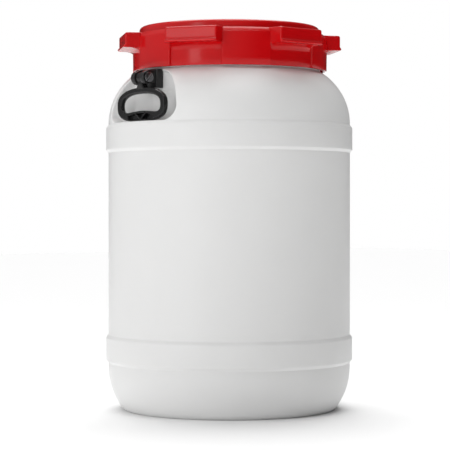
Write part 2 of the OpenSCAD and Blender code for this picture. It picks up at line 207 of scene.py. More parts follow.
def drum_skin(bm, inset, inward):
    """One skin of the drum, with both pockets let into its shoulder. Returns its top ring."""
    profile = drum_profile(inset)
    foot = Vector((WALL_R - inset, SHOULDER[0]))
    first = min(range(len(profile)), key=lambda i: (profile[i] - foot).length)
    last = len(profile) - 1
    angles = []
    for half in (0, 180):
        angles += [half - POCKET_ARC + 2 * POCKET_ARC * i / POCKET_COLUMNS for i in range(POCKET_COLUMNS)]
        rest = 180 - 2 * POCKET_ARC
        angles += [half + POCKET_ARC + rest * i / PLAIN_COLUMNS for i in range(PLAIN_COLUMNS)]
    count = len(angles)
    half_count = count // 2

    def windowed(i, j):
        return first < i < last and 0 < j % half_count < POCKET_COLUMNS

    grid = {}
    for i, p in enumerate(profile):
        if p.x < 1e-6:
            centre = bm.verts.new((0, 0, p.y * MM))
            for j in range(count):
                grid[i, j] = centre
            continue
        for j, a in enumerate(angles):
            if not windowed(i, j):
                a = math.radians(a)
                grid[i, j] = bm.verts.new((p.x * math.cos(a) * MM, p.x * math.sin(a) * MM, p.y * MM))

    def face(*corners):
        unique = list(dict.fromkeys(corners))
        if len(unique) > 2:
            bm.faces.new(reversed(unique) if inward else unique)

    for i in range(last):
        for j in range(count):
            k = (j + 1) % count
            if first <= i < last and j % half_count < POCKET_COLUMNS:
                continue
            face(grid[i, j], grid[i, k], grid[i + 1, k], grid[i + 1, j])

    for number, side in enumerate((1, -1)):
        j0 = number * half_count
        edge = [(first, j) for j in range(POCKET_COLUMNS)]
        edge += [(i, POCKET_COLUMNS) for i in range(first, last)]
        edge += [(last, j) for j in range(POCKET_COLUMNS, 0, -1)]
        edge += [(i, 0) for i in range(last, first, -1)]
        rim_verts = [grid[i, (j0 + j) % count] for i, j in edge]
        rim = [(v.co.y / MM * side, v.co.z / MM) for v in rim_verts]
        ring = pocket_ring(inset, rim)
        n = len(rim)
        normals = []
        for k in range(n):
            along = (ring[(k + 1) % n] - ring[k - 1]).normalized()
            normals.append(Vector((-along.y, along.x)))
        # Steps from the shoulder over the pocket's rounded lip, down its wall and round its foot
        steps = [("out", f, 0) for f in (0.25, 0.5, 0.75)]
        fall = ((-LIP, 0.0), (-LIP * 0.55, 0.004), (-0.5, 0.02), (0.4, 0.055), (1.0, 0.12), (1.6, 0.22),
                (2.3, 0.38), (3.0, 0.56), (3.7, 0.74), (4.3, 0.86), (5.0, 0.93), (6.2, 0.975), (8.0, 1.0))
        steps += [("near", d, pull) for d, pull in fall]
        rings = [rim_verts]
        for kind, value, pull in steps:
            verts = []
            for k in range(n):
                lip_point = ring[k] - normals[k] * LIP
                if kind == "out":
                    p = Vector(rim[k]).lerp(lip_point, value)
                else:
                    steep = FOOT_STEEPNESS if value > 0 else 0
                    p = ring[k] + normals[k] * value * (1 - steep * max(0.0, normals[k].y))
                p.y = min(max(p.y, SHOULDER[0]), SHOULDER[1])
                verts.append(bm.verts.new(shoulder_point(side, p.x, p.y, pull, inset)))
            rings.append(verts)
        for a, b in zip(rings, rings[1:]):
            for k in range(n):
                m = (k + 1) % n
                face(a[k], a[m], b[m], b[k])
        # Floor: rows between the lower and upper halves of the innermost ring
        inner = rings[-1]
        plane = [Vector((v.co.y / MM * side, v.co.z / MM)) for v in inner]
        rise = last - first
        low = [k % n for k in range(-(rise // 2), POCKET_COLUMNS + rise // 2 + 1)]
        high = [(low[0] - i) % n for i in range(len(low))]
        floor_rows = 26
        web = {}
        for c in range(len(low)):
            a, b = low[c], high[c]
            for r in range(floor_rows + 1):
                if a == b or r == 0:
                    web[c, r] = inner[a]
                elif r == floor_rows:
                    web[c, r] = inner[b]
                else:
                    p = plane[a].lerp(plane[b], r / floor_rows)
                    web[c, r] = bm.verts.new(shoulder_point(side, p.x, p.y, 1.0, inset))
        for c in range(len(low) - 1):
            for r in range(floor_rows):
                face(web[c, r], web[c + 1, r], web[c + 1, r + 1], web[c, r + 1])
    return [grid[last, j] for j in range(count)], angles


def bridge_profile(bm, ring, angles, points):
    """Carries a ring of vertices on along the (r, z) points and returns the last ring."""
    count = len(ring)
    for p in points:
        turns = [math.radians(a) for a in angles]
        new = [bm.verts.new((p.x * math.cos(a) * MM, p.x * math.sin(a) * MM, p.y * MM)) for a in turns]
        for j in range(count):
            k = (j + 1) % count
            bm.faces.new((ring[j], ring[k], new[k], new[j]))
        ring = new
    return ring


def join_rings(bm, a, b):
    """A band of faces between two rings of the same count."""
    for j in range(len(a)):
        k = (j + 1) % len(a)
        bm.faces.new((a[j], a[k], b[k], b[j]))


def thread_ridge(bm, root, crest, z0, start):
    """One thread ridge: a rounded trapezoid on a helix, dying away into the wall at both ends."""
    steps = 150
    outward = crest > root
    section = rounded([(0, -2.9, 0), (0.25, -2.5, 0.2), (1, -1.3, 0.25), (1, 1.3, 0.25),
                       (0.25, 2.5, 0.2), (0, 2.9, 0)], 30)
    last = None
    for i in range(steps + 1):
        turn = THREAD_SWEEP * i / steps
        a = math.radians(start + turn)
        fade = smooth(min(turn, THREAD_SWEEP - turn) / 14.0)
        ring = []
        for p in section:
            r = root + (crest - root) * p.x * (0.08 + 0.92 * fade)
            z = z0 + THREAD_LEAD * turn / 360 + p.y * (0.4 + 0.6 * fade)
            ring.append(bm.verts.new((r * math.cos(a) * MM, r * math.sin(a) * MM, z * MM)))
        n = len(ring)
        if last:
            for k in range(n):
                m = (k + 1) % n
                quad = (last[k], ring[k], ring[m], last[m])
                bm.faces.new(reversed(quad) if outward else quad)
        else:
            bm.faces.new(ring if outward else reversed(ring))
        last = ring
    bm.faces.new(reversed(last) if outward else last)


def new_piece(name, bm, smooth_angle=38.0):
    """A mesh object of that name, shaded smooth but for edges sharper than the angle."""
    bmesh.ops.remove_doubles(bm, verts=bm.verts, dist=1e-6)
    bmesh.ops.recalc_face_normals(bm, faces=bm.faces)
    for face in bm.faces:
        face.smooth = True
    for edge in bm.edges:
        if len(edge.link_faces) == 2 and edge.calc_face_angle(0) > math.radians(smooth_angle):
            edge.smooth = False
    mesh = bpy.data.meshes.new(name)
    bm.to_mesh(mesh)
    bm.free()
    piece = bpy.data.objects.new(name, mesh)
    bpy.context.scene.collection.objects.link(piece)
    return piece


def drum_mesh():
    """Outer skin, neck and inner skin as one closed wall, with the two thread ridges on the neck."""
    bm = bmesh.new()
    outer, angles = drum_skin(bm, 0.0, False)
    neck = rounded([(NECK_R + 0.6, 546.6, 0), (NECK_R, 548.2, 0), (NECK_R, 552, 0), (NECK_R, RIM_Z, 1.3),
                    (NECK_BORE, RIM_Z, 1.0), (NECK_BORE, 556, 0), (NECK_BORE, 547.5, 0)])
    top = bridge_profile(bm, outer, angles, neck)
    inner, _ = drum_skin(bm, WALL, True)
    join_rings(bm, top, inner)
    for start in (0, 180):
        thread_ridge(bm, NECK_R - 0.6, 151.2, 560, start)
    return new_piece("drum_moulding", bm)


def effect_group(name, inputs, outputs):
    """An empty shader node group with those named values; inputs are (name, default)."""
    group = bpy.data.node_groups.new(name, "ShaderNodeTree")
    for label, value in inputs:
        socket = group.interface.new_socket(name=label, in_out="INPUT", socket_type="NodeSocketFloat")
        socket.default_value = value
    for label in outputs:
        group.interface.new_socket(name=label, in_out="OUTPUT", socket_type="NodeSocketFloat")
    return group, group.nodes.new("NodeGroupInput"), group.nodes.new("NodeGroupOutput")


def moulded_grain_group():
    """Fine surface grain over a slow waviness, as an even height and an even tone."""
    group, given, out = effect_group("moulded_grain", [("Grain Size", 900.0), ("Wave Size", 14.0),
                                                       ("Grain Share", 0.35)], ["Height", "Tone"])
    nodes, links = group.nodes, group.links
    place = nodes.new("ShaderNodeTexCoord")
    grain, wave = nodes.new("ShaderNodeTexNoise"), nodes.new("ShaderNodeTexNoise")
    grain.inputs["Detail"].default_value = 3.0
    wave.inputs["Detail"].default_value = 1.5
    for texture, size in ((grain, "Grain Size"), (wave, "Wave Size")):
        links.new(place.outputs["Object"], texture.inputs["Vector"])
        links.new(given.outputs[size], texture.inputs["Scale"])
    mix = nodes.new("ShaderNodeMix")
    links.new(given.outputs["Grain Share"], mix.inputs[0])
    links.new(wave.outputs["Fac"], mix.inputs[2])
    links.new(grain.outputs["Fac"], mix.inputs[3])
    links.new(mix.outputs[0], out.inputs["Height"])
    links.new(wave.outputs["Fac"], out.inputs["Tone"])
    return group


def worn_and_highlit_edges_group():
    """Mask of the outer corners that hands and floors rub, broken up by noise; where its colour is lighter it
    also paints a highlight along the edges.
    """
    group, given, out = effect_group("worn_and_highlit_edges", [("Start", 0.52), ("End", 0.62), ("Patch Size", 45.0)],
                                     ["Mask"])
    nodes, links = group.nodes, group.links
    shape, place = nodes.new("ShaderNodeNewGeometry"), nodes.new("ShaderNodeTexCoord")
    reach, patch = nodes.new("ShaderNodeMapRange"), nodes.new("ShaderNodeTexNoise")
    share = nodes.new("ShaderNodeMath")
    share.operation = "MULTIPLY"
    links.new(shape.outputs["Pointiness"], reach.inputs["Value"])
    links.new(given.outputs["Start"], reach.inputs["From Min"])
    links.new(given.outputs["End"], reach.inputs["From Max"])
    links.new(place.outputs["Object"], patch.inputs["Vector"])
    links.new(given.outputs["Patch Size"], patch.inputs["Scale"])
    links.new(reach.outputs["Result"], share.inputs[0])
    links.new(patch.outputs["Fac"], share.inputs[1])
    links.new(share.outputs[0], out.inputs["Mask"])
    return group


def settled_dust_group():
    """Mask of light dust: on faces that look up, in soft patches."""
    group, given, out = effect_group("settled_dust", [("Amount", 0.3), ("Patch Size", 30.0)], ["Mask"])
    nodes, links = group.nodes, group.links
    shape, place = nodes.new("ShaderNodeNewGeometry"), nodes.new("ShaderNodeTexCoord")
    part, up = nodes.new("ShaderNodeSeparateXYZ"), nodes.new("ShaderNodeMapRange")
    patch, share, amount = (nodes.new("ShaderNodeTexNoise"), nodes.new("ShaderNodeMath"),
                            nodes.new("ShaderNodeMath"))
    share.operation = amount.operation = "MULTIPLY"
    up.inputs["From Min"].default_value = 0.3
    links.new(shape.outputs["Normal"], part.inputs[0])
    links.new(part.outputs["Z"], up.inputs["Value"])
    links.new(place.outputs["Object"], patch.inputs["Vector"])
    links.new(given.outputs["Patch Size"], patch.inputs["Scale"])
    links.new(up.outputs["Result"], share.inputs[0])
    links.new(patch.outputs["Fac"], share.inputs[1])
    links.new(share.outputs[0], amount.inputs[0])
    links.new(given.outputs["Amount"], amount.inputs[1])
    links.new(amount.outputs[0], out.inputs["Mask"])
    return group


MOULDED_GRAIN = moulded_grain_group()
WORN_AND_HIGHLIT_EDGES = worn_and_highlit_edges_group()
SETTLED_DUST = settled_dust_group()


def finish(name, colour, shade, edge_wear_and_highlight, rough, grain, dust, depth, fixed):
    """A material of that colour: shade is its darker patch colour, edge_wear_and_highlight the colour of its
    outer corners (rubbed wear, and on the black plastics a painted highlight).
    rough is the (low, high) roughness, grain the grain's sizes, depth its height, fixed the plain sockets."""
    paint = bpy.data.materials.new(name)
    paint.use_nodes = True
    nodes, links = paint.node_tree.nodes, paint.node_tree.links
    shader = nodes["Principled BSDF"]
    groups = []
    for tree, values in ((MOULDED_GRAIN, grain), (WORN_AND_HIGHLIT_EDGES, {}), (SETTLED_DUST, {"Amount": dust})):
        group = nodes.new("ShaderNodeGroup")
        group.node_tree = tree
        for label, value in values.items():
            group.inputs[label].default_value = value
        groups.append(group)
    surface, edges, dusty = groups
    tint = None
    # Layers: random tone, then lighter outer corners (rubbed wear and a painted edge highlight), then dust on
    # faces that look up.
    layers = ((surface.outputs["Tone"], colour, shade), (edges.outputs["Mask"], None, edge_wear_and_highlight),
              (dusty.outputs["Mask"], None, (0.55, 0.54, 0.52)))
    for mask, low, high in layers:
        mix = nodes.new("ShaderNodeMix")
        mix.data_type = "RGBA"
        links.new(mask, mix.inputs[0])
        if low:
            mix.inputs[6].default_value = (*low, 1)
        else:
            links.new(tint, mix.inputs[6])
        mix.inputs[7].default_value = (*high, 1)
        tint = mix.outputs[2]
    links.new(tint, shader.inputs["Base Color"])
    sheen = nodes.new("ShaderNodeMapRange")
    sheen.inputs["To Min"].default_value, sheen.inputs["To Max"].default_value = rough
    links.new(surface.outputs["Tone"], sheen.inputs["Value"])
    links.new(sheen.outputs["Result"], shader.inputs["Roughness"])
    bump = nodes.new("ShaderNodeBump")
    bump.inputs["Strength"].default_value = 0.5
    bump.inputs["Distance"].default_value = depth * MM
    links.new(surface.outputs["Height"], bump.inputs["Height"])
    links.new(bump.outputs["Normal"], shader.inputs["Normal"])
    for label, value in fixed.items():
        shader.inputs[label].default_value = value
    return paint


drum = drum_mesh()
drum.data.materials.append(finish(
    "white_polyethylene", (0.85, 0.85, 0.845), (0.83, 0.83, 0.825), (0.88, 0.88, 0.875), (0.34, 0.46),
    {"Grain Size": 700.0, "Wave Size": 16.0, "Grain Share": 0.3}, 0.05, 0.25,
    {"Subsurface Weight": 0.08, "Subsurface Scale": 0.004, "Subsurface Radius": (1, 1, 1),
     "Specular IOR Level": 0.4}))
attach(drum, "drum")
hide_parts("drum_base", "drum_wall", "drum_shoulder")

# ---------------------------------------------------------------------------------------------
# Screw lid: one injection moulding in glossy red plastic. Six hollow grip lugs with a bead along
# the lower edge stand out from the skirt; the raised crown holds a sunk panel, and a short plug
# below enters the neck. Two thread ridges inside the skirt run under those of the neck.
# ---------------------------------------------------------------------------------------------
LUGS = 6
GAP_R = (158.4, 159.2)
HOLLOW_R = 155.8
LUG_FACE = 175.3
LUG_CORNER = 43.0
LUG_ROOT = (152.0, 44.5)
LUG_LOW = 581.5
LUG_TOP = 605.4
ROOT_TURN = 2.2
CORNER_TURN = 2.6
GAP_END = 17.6
HOLLOW_END = 15.65
BEVEL_Z = 598.0
BEVEL_POWER = 1.35
LEDGE = (153.0, 605.7)
SKIRT_Z = 547.0
SKIRT_FOOT = 550.0


def lug_outline():
    """Half of a sector's plan, from the middle of the gap to the middle of a lug: (point, is_lug, bead)."""
    gap = [Vector((GAP_R[0] * math.cos(math.radians(a)), GAP_R[0] * math.sin(math.radians(a))))
           for a in (30, 27, 24, 21, 19, GAP_END)]
    start = gap[-1]
    turn = rounded([(*start, 0), (*LUG_ROOT, ROOT_TURN), (LUG_FACE, LUG_CORNER, CORNER_TURN),
                    (LUG_FACE, 0, 0)], 18)
    flank = Vector((LUG_FACE, LUG_CORNER)) - Vector(LUG_ROOT)
    side = [Vector(LUG_ROOT) + flank * u for u in (0.13, 0.155, 0.2, 0.245, 0.33, 0.48, 0.64, 0.78)]
    face = [Vector((LUG_FACE, y)) for y in (38, 35, 31, 26, 20, 14, 7, 0)]
    root_turn = [p for p in turn[1:-1] if p.x < LUG_ROOT[0] + CORNER_TURN]
    corner_turn = [p for p in turn[1:-1] if p.x >= LUG_ROOT[0] + CORNER_TURN]
    columns = [(p, 0, 0.0) for p in gap]
    half = len(root_turn) // 2
    columns += [(p, int(i > half), 0.0) for i, p in enumerate(root_turn)]
    columns += [(p, 1, 0.0) for p in side]
    columns += [(p, 1, smooth((p.x - LUG_FACE + 3.0) / 3.0) * 0.7) for p in corner_turn]
    return columns + [(p, 1, 1.0) for p in face]


# Rows of the lid from the middle of its underside round to the middle of its top. Ring rows are
# (radius, z); skirt rows are (gap z, lug z, reach from the hollow to the lug's outline, push, bead).
LID_UNDERSIDE = rounded([(0, 598.8, 0), (60, 598.8, 0), (132.2, 598.8, 2), (135.2, 615.3, 1.5),
                         (138.6, 615.3, 1.2), (138.6, 588, 1.2), (141.4, 588, 1.2), (141.4, 603.3, 0.4),
                         (152, 603.3, 1.2), (152, 575, 0), (152, SKIRT_Z, 0.8), (154.2, SKIRT_Z, 0)], 30)
LID_SKIRT = [(547.0, 547.0, 0, -0.8, 0), (547.25, 547.25, 0, -0.25, 0), (547.9, 547.9, 0, 0, 0),
             (560, 560, 0, 0, 0), (570, 570.5, 0, 0, 0), (574.5, 575.0, 0.02, 0, 0),
             (577.0, 577.6, 0.1, 0, 0), (578.8, 579.5, 0.25, 0, 0), (580.2, 580.8, 0.46, 0, 0),
             (581.2, LUG_LOW, 0.72, 0, 0),
             (581.8, LUG_LOW, 0.93, 0, 0.4), (582.2, 581.7, 1, 0, 1.7), (583.0, 582.4, 1, 0, 2.6),
             (583.8, 583.5, 1, 0, 2.9), (585.0, 584.7, 1, 0, 2.6), (586.2, 585.8, 1, 0, 1.5),
             (587.2, 586.6, 1, 0, 0.5), (588.2, 587.6, 1, 0, 0), (592, 594, 1, 0, 0), (595.5, 600, 1, 0, 0),
             (597.6, 602.6, 1, 0, 0), (598.8, 603.6, 1, -0.35, 0), (600.2, 604.5, 1, -0.95, 0),
             (602.6, 605.1, 1, -1.7, 0), (604.6, LUG_TOP, 1, -2.6, 0)]
LID_TOP = rounded([(*LEDGE, 0), (146, 605.7, 1.2), (146, 618.5, 5.4), (132, 618.5, 3.0), (129, 602, 2.4),
                   (100, 602, 0.6), (98, 604.5, 0.8), (60, 604.5, 0), (7, 604.5, 0.3), (6.2, 603.9, 0.3),
                   (2.6, 603.9, 0.3), (2.2, 604.3, 0.2), (0, 604.3, 0)], 22)


def gap_radius(z):
    """The gap's outer wall, drafted, and its bevel up to the ledge."""
    if z < BEVEL_Z:
        return GAP_R[0] + (GAP_R[1] - GAP_R[0]) * (z - SKIRT_Z) / (BEVEL_Z - SKIRT_Z)
    rise = (z - BEVEL_Z) / (LEDGE[1] - BEVEL_Z)
    return LEDGE[0] + (GAP_R[1] - LEDGE[0]) * (1 - rise ** BEVEL_POWER)


def lid_mesh():
    """The lid as rows of columns: plain rings under and over it, and the lugs' outline between."""
    bm = bmesh.new()
    half = lug_outline()
    sector = half + [(Vector((p.x, -p.y)), lug, bead) for p, lug, bead in reversed(half[1:-1])]
    columns = []
    for k in range(LUGS):
        turn = Matrix.Rotation(math.radians(30 - 360 * k / LUGS), 2)
        for p, lug, bead in sector:
            columns.append((p, lug, bead, turn))

    def ring_row(r, z):
        if r < 1e-6:
            return [bm.verts.new((0, 0, z * MM))] * len(columns)
        return [bm.verts.new(((turn @ p.normalized()) * r * MM).to_3d() + Vector((0, 0, z * MM)))
                for p, _, _, turn in columns]

    def skirt_row(gap_z, lug_z, reach, push, bead_out):
        row = []
        foot_push = push if gap_z < SKIRT_FOOT else 0
        for p, lug, bead, turn in columns:
            angle = math.degrees(abs(math.atan2(p.y, p.x)))
            if not lug:
                q, z = p.normalized() * (gap_radius(gap_z) + foot_push), gap_z
                hug = min(1.0, max(0.0, (p.length - GAP_R[0]) / 1.0))
                q += (p - p.normalized() * GAP_R[0]) * hug * (1 if 582 < gap_z < 597 else 0)
            else:
                hollow = HOLLOW_R + (GAP_R[0] - HOLLOW_R) * smooth((angle - HOLLOW_END) / 0.3)
                inner = p.normalized() * (hollow + foot_push)
                outer = p + Vector((bead_out * bead, 0))
                if reach == 1 and push < 0:
                    outer += Vector((push, -math.copysign(min(abs(push), abs(p.y)) * 0.6, p.y)))
                q, z = inner.lerp(outer, reach), lug_z
            q = turn @ q
            row.append(bm.verts.new((q.x * MM, q.y * MM, z * MM)))
        return row

    rows = [ring_row(p.x, p.y) for p in LID_UNDERSIDE]
    rows += [skirt_row(*values) for values in LID_SKIRT]
    rows += [ring_row(p.x, p.y) for p in LID_TOP]
    for a, b in zip(rows, rows[1:]):
        for j in range(len(columns)):
            k = (j + 1) % len(columns)
            corners = list(dict.fromkeys((a[j], b[j], b[k], a[k])))
            if len(corners) > 2:
                bm.faces.new(corners)
    for start in (0, 180):
        thread_ridge(bm, 152.6, 148.3, 556.2, start)
    return new_piece("screw_lid", bm, 32.0)


lid = lid_mesh()
lid.data.materials.append(finish(
    "glossy_red_plastic", (0.60, 0.003, 0.005), (0.54, 0.002, 0.004), (0.72, 0.02, 0.024), (0.13, 0.2),
    {"Grain Size": 1100.0, "Wave Size": 22.0, "Grain Share": 0.4}, 0.06, 0.12,
    {"Coat Weight": 0.06, "Coat Roughness": 0.1, "Specular IOR Level": 0.26}))
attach(lid, "lid")
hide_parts("lid")

# ---------------------------------------------------------------------------------------------
# Lid gasket: a flat ring cut from black rubber sheet. It lies between the neck's rim and the
# lid's seat and goes up with the lid.
# ---------------------------------------------------------------------------------------------
GASKET_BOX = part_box("lid_gasket")
GASKET_BORE = 141.9


def turned(bm, outline, count, place, shape=None):
    """Turns a closed (r, z) outline about its axis; shape may change a radius by its angle."""
    rings = []
    for i in range(count):
        a = 2 * math.pi * i / count
        ring = []
        for p in outline:
            r = shape(p.x, p.y, a) if shape else p.x
            ring.append(bm.verts.new(place(r * math.cos(a), r * math.sin(a), p.y)))
        rings.append(ring)
    n = len(outline)
    for i in range(count):
        a, b = rings[i], rings[(i + 1) % count]
        for k in range(n):
            m = (k + 1) % n
            if outline[k].x > 1e-6 or outline[m].x > 1e-6:
                bm.faces.new((a[k], b[k], b[m], a[m]))


def upright(x, y, z):
    """Turned about the drum's own axis."""
    return Vector((x, y, z)) * MM


def gasket_mesh():
    bm = bmesh.new()
    low, high = GASKET_BOX[0][2] / MM, GASKET_BOX[1][2] / MM
    outer = GASKET_BOX[1][0] / MM
    turned(bm, rounded([(GASKET_BORE + 1, low, 0), (outer, low, 0.5), (outer, high, 0.5),
                        (GASKET_BORE, high, 0.5), (GASKET_BORE, low, 0.5),
                        (GASKET_BORE + 1, low, 0)])[:-1], 160, upright)
    return new_piece("lid_gasket_ring", bm)


gasket = gasket_mesh()
gasket.data.materials.append(finish(
    "black_rubber", (0.022, 0.022, 0.023), (0.03, 0.03, 0.031), (0.06, 0.06, 0.06), (0.62, 0.78),
    {"Grain Size": 1600.0, "Wave Size": 60.0, "Grain Share": 0.7}, 0.1, 0.3, {"Specular IOR Level": 0.35}))
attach(gasket, "gasket")
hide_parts("lid_gasket")

# ---------------------------------------------------------------------------------------------
# Hinge brackets, left and right: moulded in black glass-filled plastic. Each slides down over
# the drum's solid dovetail, is locked there by one screw, and carries the bolt in two ears.
# ---------------------------------------------------------------------------------------------
HINGE = (177.5, 529.5)
EAR_OUT = 15.5
EAR_IN = 7.0
NOSE_R = 11.0
BOSS_R = 8.6
BASE_HALF = 18.5
BASE_X = (150.2, 163.0)
BASE_Z_SPAN = (514.0, 543.5)
DOVETAIL = (7.7, 10.7, 158.2, 518.3)
SIDES = {"right": 1, "left": -1}


def slab(bm, outline, low, high, bevel, place, steps=3):
    """A plate between two levels with round edges; place turns (u, v, level) into a point."""
    n = len(outline)
    normals = []
    for i in range(n):
        ahead, back = outline[(i + 1) % n] - outline[i], outline[i] - outline[i - 1]
        way = (ahead.normalized() + back.normalized()).normalized()
        normals.append(Vector((way.y, -way.x)))
    area = sum(outline[i - 1].cross(outline[i]) for i in range(n))
    sign = 1 if area > 0 else -1
    levels = []
    for i in range(steps + 1):
        a = math.pi / 2 * i / steps
        levels.append((low + bevel * (1 - math.sin(a)), bevel * (1 - math.cos(a))))
    levels = levels[::-1] + [(high + low - level, inset) for level, inset in levels]
    rings = []
    for level, inset in levels:
        points = [p - normal * sign * inset for p, normal in zip(outline, normals)]
        rings.append([bm.verts.new(place(p.x, p.y, level)) for p in points])
    for a, b in zip(rings, rings[1:]):
        for k in range(n):
            m = (k + 1) % n
            bm.faces.new((a[k], a[m], b[m], b[k]))
    bm.faces.new(rings[0])
    bm.faces.new(rings[-1])


def ear_outline():
    """Side view of an ear: from the bracket's base round the nose that holds the bolt."""
    nose = arc(*HINGE, NOSE_R, -97, 70.6, 20)
    shoulder = arc(173.5, 532.5, 9.5, 70.6, 83.4, 3)
    foot = [Vector((152, 522.0)), Vector((160, 521.0))]
    return foot + nose + shoulder[1:] + [Vector((161, BASE_Z_SPAN[1])), Vector((152, BASE_Z_SPAN[1]))]


def bracket_mesh(name, side):
    """Base plate with the dovetail's slot, and two ears, each with a raised ring round its bolt."""
    bm = bmesh.new()

    def across(x, z, y):
        return Vector((side * x, side * y, z)) * MM

    def level(x, y, z):
        return Vector((side * x, side * y, z)) * MM

    root, tip, front, slot_foot = DOVETAIL
    back, face = BASE_X
    plate = [(back, -BASE_HALF, 1.2), (face, -BASE_HALF, 2.0), (face, BASE_HALF, 2.0), (back, BASE_HALF, 1.2)]
    solid = rounded([(back, 0, 0)] + plate + [(back, 0, 0)], 30)[1:]
    slab(bm, solid, BASE_Z_SPAN[0], slot_foot, 1.0, level)
    slotted = rounded([(back, -root, 0)] + plate + [(back, root, 0.5), (front, tip, 0.6), (front, -tip, 0.6),
                                                    (back, -root, 0)], 30)[:-1]
    slab(bm, slotted, slot_foot - 1.0, BASE_Z_SPAN[1], 0.9, level)
    for out in (1, -1):
        low, high = sorted((out * EAR_IN, out * EAR_OUT))
        slab(bm, ear_outline(), low, high, 1.3, across)

        def boss(x, y, z, out=out):
            return across(HINGE[0] + x, HINGE[1] + y, out * (EAR_OUT + z))

        turned(bm, rounded([(BOSS_R, 0, 0), (BOSS_R, 0.9, 0.35), (10.4, 0.9, 0.45), (10.4, -0.6, 0),
                            (BOSS_R, -0.6, 0), (BOSS_R, 0, 0)])[:-1], 48, boss)
    return new_piece(name, bm, 40.0)


# The lighter corner colour on this near-black base paints a highlight along its edges, besides rubbed wear.
black_fitting = finish(
    "black_filled_plastic", (0.007, 0.007, 0.0073), (0.01, 0.01, 0.0103), (0.11, 0.11, 0.113), (0.14, 0.24),
    {"Grain Size": 1400.0, "Wave Size": 50.0, "Grain Share": 0.6}, 0.06, 0.2,
    {"Specular IOR Level": 0.24, "Coat Weight": 0.08, "Coat Roughness": 0.1})
for side_name, side in SIDES.items():
    bracket = bracket_mesh("hinge_bracket_" + side_name, side)
    bracket.data.materials.append(black_fitting)
    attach(bracket, "drum")
    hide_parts("bracket_" + side_name)

# ---------------------------------------------------------------------------------------------
# Swing handles, left and right: black plastic, loop, neck and hinge barrel in one moulding.
# The grip is arched for the fingers and cored out in front, with a V-shaped rib in the core.
# ---------------------------------------------------------------------------------------------
LOOP_Z = 489.0
LOOP_HALF = 61.0
LOOP_RISE = 25.4
LOOP_DROP = 27.6
LOOP_DEPTH = (172.75, 182.25)
WINDOW_HALF = 49.5
WINDOW_Z = 487.0
WINDOW_RISE = 17.4
WINDOW_FOOT = 473.2
GRIP_ARCH = 5.0
ARCH_HALF = 43.0
GRIP_CORE = (464.4, 474.4, 33.0)
CORE_DEPTH = 6.0
V_HALF = 14.0
V_RIB = 2.2
STATION_STEP = (0.75, 1.7)
GRIP_TOP = 480.0
BARREL_R = 8.5
BARREL_HALF = 6.6
BARREL_BORE = 4.1


def oval(a, rise, drop, top_power, foot_power, angle):
    """A point of a rounded oval: half width a, its own height and squareness above and below."""
    c, s = math.cos(angle), math.sin(angle)
    power, b = (top_power, rise) if s >= 0 else (foot_power, drop)
    return Vector((a * math.copysign(abs(c) ** (2 / power), c), b * math.copysign(abs(s) ** (2 / power), s)))


def loop_sections():
    """Outer and window points that answer to each other round the loop, closest together on the grip."""
    pairs, gone = [], STATION_STEP[1]
    last = None
    tries = 4000
    for i in range(tries):
        angle = 2 * math.pi * (i + 0.5) / tries
        outer = Vector((0, LOOP_Z)) + oval(LOOP_HALF, LOOP_RISE, LOOP_DROP, 2.3, 3.2, angle)
        gone += (outer - last).length if last else 0
        last = outer
        if gone < STATION_STEP[0 if outer.y < GRIP_TOP else 1]:
            continue
        gone = 0
        drop = WINDOW_Z - WINDOW_FOOT
        inner = Vector((0, WINDOW_Z)) + oval(WINDOW_HALF, WINDOW_RISE, drop, 2.5, 3.4, angle)
        arch = math.cos(math.pi / 2 * min(1.0, abs(inner.x) / ARCH_HALF))
        inner.y += GRIP_ARCH * arch * smooth((482 - inner.y) / 6)
        pairs.append((outer, inner))
    return pairs


def core_depth(t, z):
    """How far the grip's front is cored out at a point: none along the V-shaped rib."""
    low, high, half = GRIP_CORE
    top = high - 3.0 * smooth((abs(t) - 12) / 18)
    inside = min(smooth((z - low) / 1.2), smooth((top - z) / 1.2), smooth((half - abs(t)) / 2.5))
    line = V_HALF * (z - low) / (high - low)
    slope = math.hypot(V_HALF, high - low) / (high - low)
    rib = smooth((abs(abs(t) - line) / slope - V_RIB / 2) / 0.5)
    return CORE_DEPTH * inside * rib


